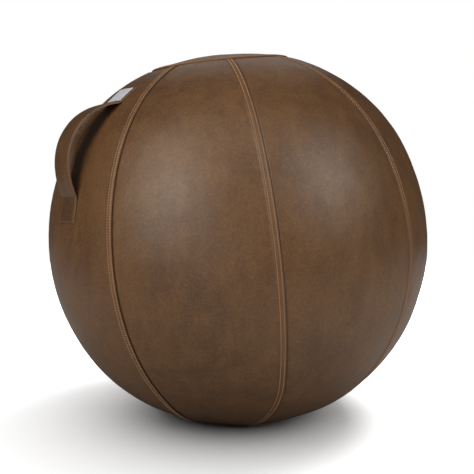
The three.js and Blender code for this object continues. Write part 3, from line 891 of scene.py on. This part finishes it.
BASE_THREAD_RADIUS = 0.4 * MM
DOT_PITCH = 7 * MM
DOT_RADIUS = 1.7 * MM
DOT_HEIGHT = 0.9 * MM
DOT_TO_ZIP = 5 * MM
DOT_TO_RIM = 6 * MM
RIM_POINTS = 120
CHORD_POINTS = 58


def half_disc(radius, edge):
    """A half disc's outline, its arc first and then its straight side, and the point it shrinks to."""
    start = math.asin(edge / radius)
    angles = np.linspace(start, math.pi - start, RIM_POINTS)
    arc = np.column_stack([radius * np.cos(angles), radius * np.sin(angles)])
    chord_x = np.linspace(arc[-1, 0], arc[0, 0], CHORD_POINTS + 2)[1:-1]
    chord = np.column_stack([chord_x, np.full(CHORD_POINTS, edge)])
    return np.concatenate([arc, chord]), np.array([0.0, radius * 0.45])


def dot_centres(radius, edge, side):
    """Staggered rows of dots over a half disc."""
    centres = []
    for row in range(40):
        y = edge + DOT_TO_ZIP + row * DOT_PITCH * 0.866
        for column in range(-20, 21):
            x = (column + 0.5 * (row % 2)) * DOT_PITCH
            if math.hypot(x, y) < radius - DOT_TO_RIM:
                centres.append((x * side, y * side, DOT_HEIGHT))
    return np.array(centres)


def base_panel(hand, side):
    """Padded half disc with a stitched rim; its underside carries rubber dots that reach the floor."""
    name, node = f"base_{hand}", f"base_panel_{hand}"
    low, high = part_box(node)
    radius, edge = max(abs(low.x), abs(high.x)), min(abs(low.y), abs(high.y))
    thickness = high.z
    outline, heart = half_disc(radius, edge)
    turn = np.array([side, side, 1])
    inner = (0.2, 0.4, 0.6, 0.8)
    levels = [(scale, DOT_HEIGHT) for scale in inner]
    levels += [(0.93, DOT_HEIGHT), (0.965, DOT_HEIGHT), (0.985, 1.5 * MM), (1, 3 * MM),
               (1, thickness - 1.5 * MM), (0.985, thickness - 0.4 * MM), (0.965, thickness)]
    levels += [(scale, thickness) for scale in inner[::-1]]
    rings = [at_height(heart + (outline - heart) * scale, z) * turn for scale, z in levels]
    panel = loft(f"{name}_fabric", rings, BASE_FABRIC)
    centres = dot_centres(radius, edge, side)
    axes = (np.tile(axis, (len(centres), 1)) for axis in np.eye(3))
    dots = scatter(f"{name}_grip_dots", dome_template(DOT_RADIUS, DOT_HEIGHT), centres, *axes, RUBBER)
    rim = at_height(heart + (outline - heart) * 0.95, DOT_HEIGHT)[:RIM_POINTS] * turn
    stitching = stitch_row(f"{name}_stitching", rim, np.tile(-UP, (RIM_POINTS, 1)), THREAD,
                           BASE_THREAD_RADIUS)
    mount(panel, "ball", "anti_slip", node)
    for obj in (dots, stitching):
        mount(obj, "ball", "anti_slip")


def dome_template(radius, height):
    """A closed flat-bottomed dome that points down."""
    rings, sides = 4, 12
    points = []
    for ring in range(rings):
        angle = math.pi / 2 * ring / rings
        for i in range(sides):
            turn = 2 * math.pi * i / sides
            across = radius * math.cos(angle)
            points.append((across * math.cos(turn), across * math.sin(turn), -height * math.sin(angle)))
    points.append((0, 0, -height))
    faces = grid_faces(rings, sides, wrap=True, flip=True)
    last = (rings - 1) * sides
    faces += [(last + (i + 1) % sides, last + i, rings * sides) for i in range(sides)]
    faces.append(tuple(range(sides)))
    return np.array(points), faces


def zip_tape(node):
    """Woven tape with a rolled edge and the faint ripple of its weave."""
    low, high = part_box(node)
    x = np.linspace(low.x, high.x, 180)[:, None]
    y = np.linspace(low.y, high.y, 12)[None, :]
    ripple = 0.08 * MM * np.sin(x / (0.9 * MM))
    roll = turned_edge(np.minimum(y - low.y, high.y - y), 0.5 * MM)
    middle = (low.z + high.z) / 2
    half = (high.z - low.z) / 2 * (0.3 + 0.7 * roll)
    outer = grid_points(x, y, middle + half + ripple * 0.5)
    inner = grid_points(x, y, middle - half + ripple * 0.5)
    mount(slab(f"{node}_woven", outer, inner, TAPE), "ball", "zip_tape", node)


def tube(name, path, radius, sides, material):
    """A closed tube along a polyline path."""
    tangent = unit(np.gradient(path, axis=0))
    side = unit(np.cross(tangent, UP + np.array([0.01, 0.02, 0])))
    up = np.cross(side, tangent)
    angles = np.linspace(0, 2 * math.pi, sides, endpoint=False)
    rings = (path[:, None] + radius * np.cos(angles)[None, :, None] * side[:, None]
             + radius * np.sin(angles)[None, :, None] * up[:, None])
    return loft(name, rings, material)


def zip_coil(node):
    """Nylon coil: one long spiral flattened to the coil's box."""
    low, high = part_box(node)
    wire = 0.38 * MM
    pitch = 2.0 * MM
    turns = int((high.x - low.x - 2 * wire) / pitch)
    t = np.linspace(0, 2 * math.pi * turns, turns * 14)
    x = low.x + wire + t / (2 * math.pi) * pitch
    y = (low.y + high.y) / 2 + ((high.y - low.y) / 2 - wire) * np.cos(t)
    z = (low.z + high.z) / 2 + ((high.z - low.z) / 2 - wire) * np.sin(t)
    spiral = tube(f"{node}_spiral", np.column_stack([x, y, z]), wire, 6, COIL)
    mount(spiral, "ball", "zip_coil", node)


def shifted(x, y, z=0.0):
    """Moves points by this much."""
    return lambda points: points + np.array([x, y, z])


def zip_stop(name):
    """Crimped metal clip across both coils."""
    low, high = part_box(name)
    size = high - low
    clip = plate(f"{name}_clip", rounded_box(size.x, size.y, 0.6 * MM), -size.z / 2, size.z / 2,
                 0.35 * MM, METAL, shifted(*((low + high) / 2)))
    mount(clip, "ball", "zip_metal", name)


SLIDER_PLATE = 0.8 * MM
COIL_CLEARANCE = 0.3 * MM
PIN_RADIUS = 0.6 * MM
PIN_HALF_LENGTH = 2.8 * MM
LUG_LENGTH = 2 * MM
LUG_WIDTH = 1 * MM


def slider_plates(low, high, lower):
    """The two waisted plates and the bridge that runs between the coils."""
    length, width = high.x - low.x, high.y - low.y
    outline = [(x * (1 - 0.12 * (y / (width / 2)) ** 2), y * (1 - 0.16 * smoothstep(0, length / 2, -x)))
               for x, y in rounded_box(length, width, 2.2 * MM, 8)]
    bridge = rounded_box(length / 2, 0.8 * MM, 0.35 * MM)
    to_middle = shifted(((low + high) / 2).x, 0)
    return [
        plate("lower", outline, lower, lower + SLIDER_PLATE, 0.25 * MM, METAL, to_middle),
        plate("upper", outline, high.z - SLIDER_PLATE, high.z, 0.25 * MM, METAL, to_middle),
        plate("bridge", bridge, lower + SLIDER_PLATE / 2, high.z - SLIDER_PLATE / 2, 0.1 * MM, METAL,
              to_middle),
    ]


def slider_lugs(pin_x, low, high):
    """Two lugs below the slider, one at each end of the pin."""
    outline = rounded_box(LUG_LENGTH, LUG_WIDTH, 0.4 * MM)
    return [plate(f"lug{hand}", outline, low, high, 0.25 * MM, METAL, shifted(pin_x, hand * PIN_HALF_LENGTH))
            for hand in (-1, 1)]


def slider_pin(pin_x, pin_height):
    angles = np.linspace(0, 2 * math.pi, 20, endpoint=False)
    outline = [(PIN_RADIUS * math.cos(a), PIN_RADIUS * math.sin(a)) for a in angles]
    return plate("pin", outline, -PIN_HALF_LENGTH, PIN_HALF_LENGTH, 0.15 * MM, METAL,
                 lambda p: np.column_stack([pin_x + p[:, 0], p[:, 2], pin_height + p[:, 1]]))


def zip_slider():
    low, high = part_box("zip_slider")
    pull_low, pull_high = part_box("zip_pull")
    pin_x = high.x - LUG_LENGTH
    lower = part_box("zip_coil_rear")[0].z - COIL_CLEARANCE - SLIDER_PLATE
    pieces = slider_plates(low, high, lower)
    pieces += slider_lugs(pin_x, low.z, lower + SLIDER_PLATE / 2)
    pieces.append(slider_pin(pin_x, (pull_low.z + pull_high.z) / 2))
    mount(join_objects("zip_slider_body", pieces), "zip_runner", "zip_metal", "zip_slider")


PULL_TIP = 3 * MM  # radius of the pull's round end
PULL_EYE = 1.2 * MM  # radius of its eye


def pull_outline(low, high, eye):
    """Half widths of the pull at stations along X: round eye, slim neck, wide thumb grip."""
    tip = high - PULL_TIP
    x = np.concatenate([low + (eye - low) * (1 - np.cos(np.linspace(0, math.pi / 2, 8))),
                        np.linspace(eye, tip, 24)[1:],
                        tip + PULL_TIP * np.sin(np.linspace(0, math.pi / 2, 10))[1:]])
    neck = 1.6 * MM + 1.4 * MM * smoothstep(eye + 6 * MM, high - 4 * MM, x)
    start = np.sqrt(np.clip(1 - ((eye - np.minimum(x, eye)) / (eye - low)) ** 2, 0, 1))
    end = np.sqrt(np.clip(1 - ((np.maximum(x, tip) - high + PULL_TIP) / PULL_TIP) ** 2, 0, 1))
    return x[:, None], np.maximum(neck * start * end, 0.02 * MM)[:, None]


def zip_pull():
    """Flat metal tab hung on the slider's pin by its eye, with a dished thumb grip."""
    low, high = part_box("zip_pull")
    middle = (low.z + high.z) / 2
    eye = low.x + PULL_EYE
    x, half = pull_outline(low.x, high.x, eye)
    share = np.linspace(-1, 1, 15)[None, :]
    round_eye = 1 - smoothstep(eye, eye + 1.6 * MM, x)
    eye_height = np.sqrt(np.clip(PULL_EYE ** 2 - (x - eye) ** 2, (0.3 * MM) ** 2, None))
    swell = 0.5 * MM * (1 - round_eye) + eye_height * round_eye
    rim = 0.25 + 0.75 * np.sqrt(1 - np.abs(share) ** 6)
    dish = 0.18 * MM * bump(x, high.x - 5 * MM, 3.2 * MM) * (1 - share ** 2) ** 0.5
    height = swell * rim - dish
    top = grid_points(x, half * share, middle + height)
    bottom = grid_points(x, half * share, middle - height)
    mount(slab("zip_pull_tab_plate", top, bottom, METAL), "zip_pull_tab", "zip_metal", "zip_pull")


# ---- Inside ----

def stabilising_ring():
    """Moulded tube ring with the parting line of its mould around both equators."""
    low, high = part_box("stabilising_ring")
    tube_radius = (high.z - low.z) / 2
    radius = (high.x - low.x) / 2 - tube_radius
    middle = (low.z + high.z) / 2
    profile = []
    for i in range(48):
        angle = 2 * math.pi * i / 48
        flash = 0.2 * MM * (abs(math.sin(angle)) < 0.05)
        profile.append((radius + (tube_radius + flash - 0.2 * MM) * math.cos(angle),
                        middle + (tube_radius - 0.1 * MM) * math.sin(angle)))
    obj = turned("stabilising_ring_moulding", profile, 160, RING)
    mount(obj, "ball", "ring_plastic", "stabilising_ring")


VALVE_HOLE = 6 * MM
BLADDER_WALL = 1.2 * MM
BLADDER_DEPTH = LEATHER + 2.3 * MM  # bladder inside the cover's outer face
BLADDER_STEPS = 240
RIB_HEIGHT = 0.9 * MM
RIBS = 96  # grip ribs in a full circle of latitude
RIBBED_LATITUDE = math.radians(55)


def bladder_outline(inset, floor, rib_height):
    """Radius and height from the top down to the valve hole, flat where it reaches the floor height."""
    flat = floor - CENTRE_HEIGHT
    lowest = math.atan2(flat, VALVE_HOLE)
    points = []
    for i in range(BLADDER_STEPS + 1):
        latitude = math.pi / 2 + (lowest - math.pi / 2) * i / BLADDER_STEPS
        ribbed = abs(latitude) < RIBBED_LATITUDE
        rib = rib_height * max(math.cos(latitude * RIBS), 0) ** 2 * ribbed
        radius = cover_radius(np.array(latitude)) - inset + rib
        height = radius * math.sin(latitude)
        across = flat / math.tan(latitude) if height < flat else radius * math.cos(latitude)
        points.append((0.0 if i == 0 else float(across), float(max(height, flat))))
    return points


def bladder():
    """Inflated vinyl ball with fine grip ribs, a flat over the ring and the valve hole below."""
    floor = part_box("inflatable_bladder")[0].z
    outer = bladder_outline(BLADDER_DEPTH, floor, RIB_HEIGHT)
    inner = bladder_outline(BLADDER_DEPTH + BLADDER_WALL, floor + BLADDER_WALL, 0.0)
    obj = turned("inflatable_bladder_vinyl", outer + inner[::-1], 128, VINYL, settle)
    mount(obj, "ball", "bladder_vinyl", "inflatable_bladder")


SEAT_DROP = 1.5 * MM  # the collar shows this far below the bladder
FLANGE_THICKNESS = 1.6 * MM
PLUG_HEAD = 2.2 * MM


def valve_collar():
    """Rubber collar through the bladder's hole: a round flange and three grooves above it."""
    low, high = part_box("valve_seat")
    bore, neck = 3.5 * MM, 5.7 * MM
    shelf = low.z + SEAT_DROP + 1.5 * MM
    lip = FLANGE_THICKNESS / 2
    grooves = []
    for below_top in (8, 5.6, 3.2):
        z = high.z - below_top * MM
        grooves += [(neck, z), (neck - 0.4 * MM, z + 0.5 * MM), (neck, z + 1 * MM)]
    profile = [(bore, low.z + 0.4 * MM), (bore + 0.4 * MM, low.z), (neck - 0.3 * MM, low.z),
               (neck, low.z + 0.3 * MM), (neck, shelf),
               *arc_points((high.x - low.x) / 2 - lip, shelf + lip, lip, -90, 90, 9),
               (neck + 0.3 * MM, shelf + FLANGE_THICKNESS), (neck, shelf + 1.9 * MM), *grooves,
               (neck, high.z - 0.8 * MM), (neck - 0.8 * MM, high.z),
               (bore + 0.3 * MM, high.z), (bore, high.z - 0.3 * MM)]
    collar = turned("valve_seat_collar", profile, 64, VALVE_RUBBER)
    mount(collar, "ball", "valve_rubber", "valve_seat")


def valve_stopper():
    """Push-in plug: a rounded head with a shallow well, and three ribs along its stem."""
    low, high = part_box("valve_plug")
    head, stem, rib = (high.x - low.x) / 2, 3 * MM, 3.25 * MM
    top = low.z + PLUG_HEAD
    profile = [(0, low.z + 0.5 * MM), (head - 3 * MM, low.z + 0.5 * MM), (head - 2.4 * MM, low.z),
               *arc_points(head - 0.6 * MM, low.z + 0.6 * MM, 0.6 * MM, -90, 0, 6),
               *arc_points(head - 0.4 * MM, top - 0.4 * MM, 0.4 * MM, 0, 90, 5), (3.2 * MM, top)]
    for number in range(3):
        z = top + (2.5 + 3.2 * number) * MM
        profile += [(stem, z), (rib, z + 0.5 * MM), (rib, z + 0.9 * MM), (stem, z + 1.4 * MM)]
    profile += [(stem, high.z - 2 * MM), (2.2 * MM, high.z), (0, high.z)]
    stopper = turned("valve_plug_stopper", profile, 64, VALVE_PLASTIC)
    mount(stopper, "air_plug", "valve_plastic", "valve_plug")


# ---- Stage ----

FLOOR_SIZE = 1.8  # metres from the middle to each side
FLOOR_SEEN = 0.9  # the floor's brightness to the camera,
FLOOR_MIRRORED = 0.17  # in reflections on the ball
FLOOR_BOUNCED = 0.25  # and for the light that it throws back
SURROUND_LIGHT = 0.04
CAMERA_DISTANCE = 4.76 * BALL_RADIUS
CAMERA_PITCH = math.radians(7)
CAMERA_LENS = 66.75
CAMERA_SHIFT = (-0.003, 0.0078)


def by_ray(tree, kind, special, usual):
    """One shader for rays of this kind and another for the rest."""
    path = tree.nodes.new("ShaderNodeLightPath")
    mix = tree.nodes.new("ShaderNodeMixShader")
    tree.links.new(path.outputs[f"Is {kind} Ray"], mix.inputs[0])
    tree.links.new(usual, mix.inputs[1])
    tree.links.new(special, mix.inputs[2])
    return mix.outputs[0]


def studio():
    """A white floor and surround that throw little light back on the ball's lower half."""
    scene = bpy.context.scene
    scene.view_settings.view_transform = "Standard"
    n = Nodes("studio_floor")
    seen, mirrored, bounced = (n.add("ShaderNodeBsdfDiffuse", Color=(tint, tint, tint, 1)).outputs[0]
                               for tint in (FLOOR_SEEN, FLOOR_MIRRORED, FLOOR_BOUNCED))
    output = next(node for node in n.tree.nodes if node.type == "OUTPUT_MATERIAL")
    hidden = by_ray(n.tree, "Glossy", mirrored, bounced)
    n.tree.links.new(by_ray(n.tree, "Camera", seen, hidden), output.inputs["Surface"])
    corners = [(x * FLOOR_SIZE, y * FLOOR_SIZE, 0) for x, y in ((-1, -1), (1, -1), (1, 1), (-1, 1))]
    make_object("studio_floor", corners, [(0, 1, 2, 3)], n.material)
    world = bpy.data.worlds.new("studio")
    scene.world = world
    world.use_nodes = True
    tree = world.node_tree
    seen, bounced = tree.nodes["Background"], tree.nodes.new("ShaderNodeBackground")
    for background, strength in ((seen, 1), (bounced, SURROUND_LIGHT)):
        background.inputs["Color"].default_value = (1, 1, 1, 1)
        background.inputs["Strength"].default_value = strength
    output = next(node for node in tree.nodes if node.type == "OUTPUT_WORLD")
    mixed = by_ray(tree, "Camera", seen.outputs[0], bounced.outputs[0])
    tree.links.new(mixed, output.inputs["Surface"])


def put(name, data, place, turn):
    """Places a lamp or a camera."""
    obj = bpy.data.objects.new(name, data)
    obj.location = place
    obj.rotation_euler = turn
    bpy.context.scene.collection.objects.link(obj)
    return obj


def softbox(name, place, width, height, power, lights_floor=False):
    """A soft panel aimed at the ball's middle. It lights either the floor or everything else."""
    light = bpy.data.lights.new(name, "AREA")
    light.shape = "RECTANGLE"
    light.size, light.size_y = width, height
    light.energy = power
    aim = Vector((0, 0, CENTRE_HEIGHT)) - Vector(place)
    turn = (0, 0, 0) if lights_floor else aim.to_track_quat("-Z", "Y").to_euler()
    obj = put(name, light, place, turn)
    obj.visible_camera = False
    receivers = bpy.data.collections.new(f"{name}_receivers")
    receivers.objects.link(bpy.data.objects["studio_floor"])
    state = "INCLUDE" if lights_floor else "EXCLUDE"
    receivers.collection_objects[0].light_linking.link_state = state
    obj.light_linking.receiver_collection = receivers
    return obj


def camera():
    """A little above the ball's middle and looking down on it, with the whole ball in the picture."""
    data = bpy.data.cameras.new("camera")
    data.sensor_width = 36
    data.lens = CAMERA_LENS
    data.shift_x, data.shift_y = CAMERA_SHIFT
    away = Vector((0, -math.cos(CAMERA_PITCH), math.sin(CAMERA_PITCH)))
    place = Vector((0, 0, CENTRE_HEIGHT)) + CAMERA_DISTANCE * away
    bpy.context.scene.camera = put("camera", data, place, (math.pi / 2 - CAMERA_PITCH, 0, 0))


for number in range(GORES):
    gore(number)
    gore_stitches(number)
crown()
crown_stitches()
for hand, side in (("lower", -1), ("upper", 1)):
    strap_half(hand, side)
    strap_stitches(hand, side)
grip_wrap()
grip_foam()
label()
for hand, side in (("rear", 1), ("front", -1)):
    base_panel(hand, side)
    zip_tape(f"zip_tape_{hand}")
    zip_coil(f"zip_coil_{hand}")
zip_stop("zip_stop_closed_end")
zip_stop("zip_stop_open_end")
zip_slider()
zip_pull()
stabilising_ring()
bladder()
valve_collar()
valve_stopper()
studio()
softbox("key_left", (-1.26, -1.42, 1.22), 1.15, 1.4, 15.6)
softbox("key_left_high", (-1.2, -1.0, 2.0), 0.9, 1.3, 4.2)
softbox("key_right", (1.6, -0.92, 1.44), 0.9, 1.3, 10.5)
softbox("key_right_front", (1.3, -1.4, 1.4), 0.9, 1.3, 3.4)
softbox("front_fill", (-0.6, -2.5, 0.45), 1.5, 1.0, 3.6)
softbox("overhead_front", (0, -1.2, 2.2), 1.6, 1.6, 5)
softbox("back_top", (0, 1.9, 2.1), 1.6, 1.6, 4.5)
back_wash = softbox("back_wash", (0, 2.6, 0.7), 1.6, 1.6, 22)
back_wash.visible_glossy = False  # its mirror image would outline the ball from the front
softbox("floor_panel", (1.2, 0.5, 2), 10, 10, 520, lights_floor=True)
softbox("floor_overhead", (0.8, 0.6, 1.9), 1.4, 1.4, 72, lights_floor=True)
camera()
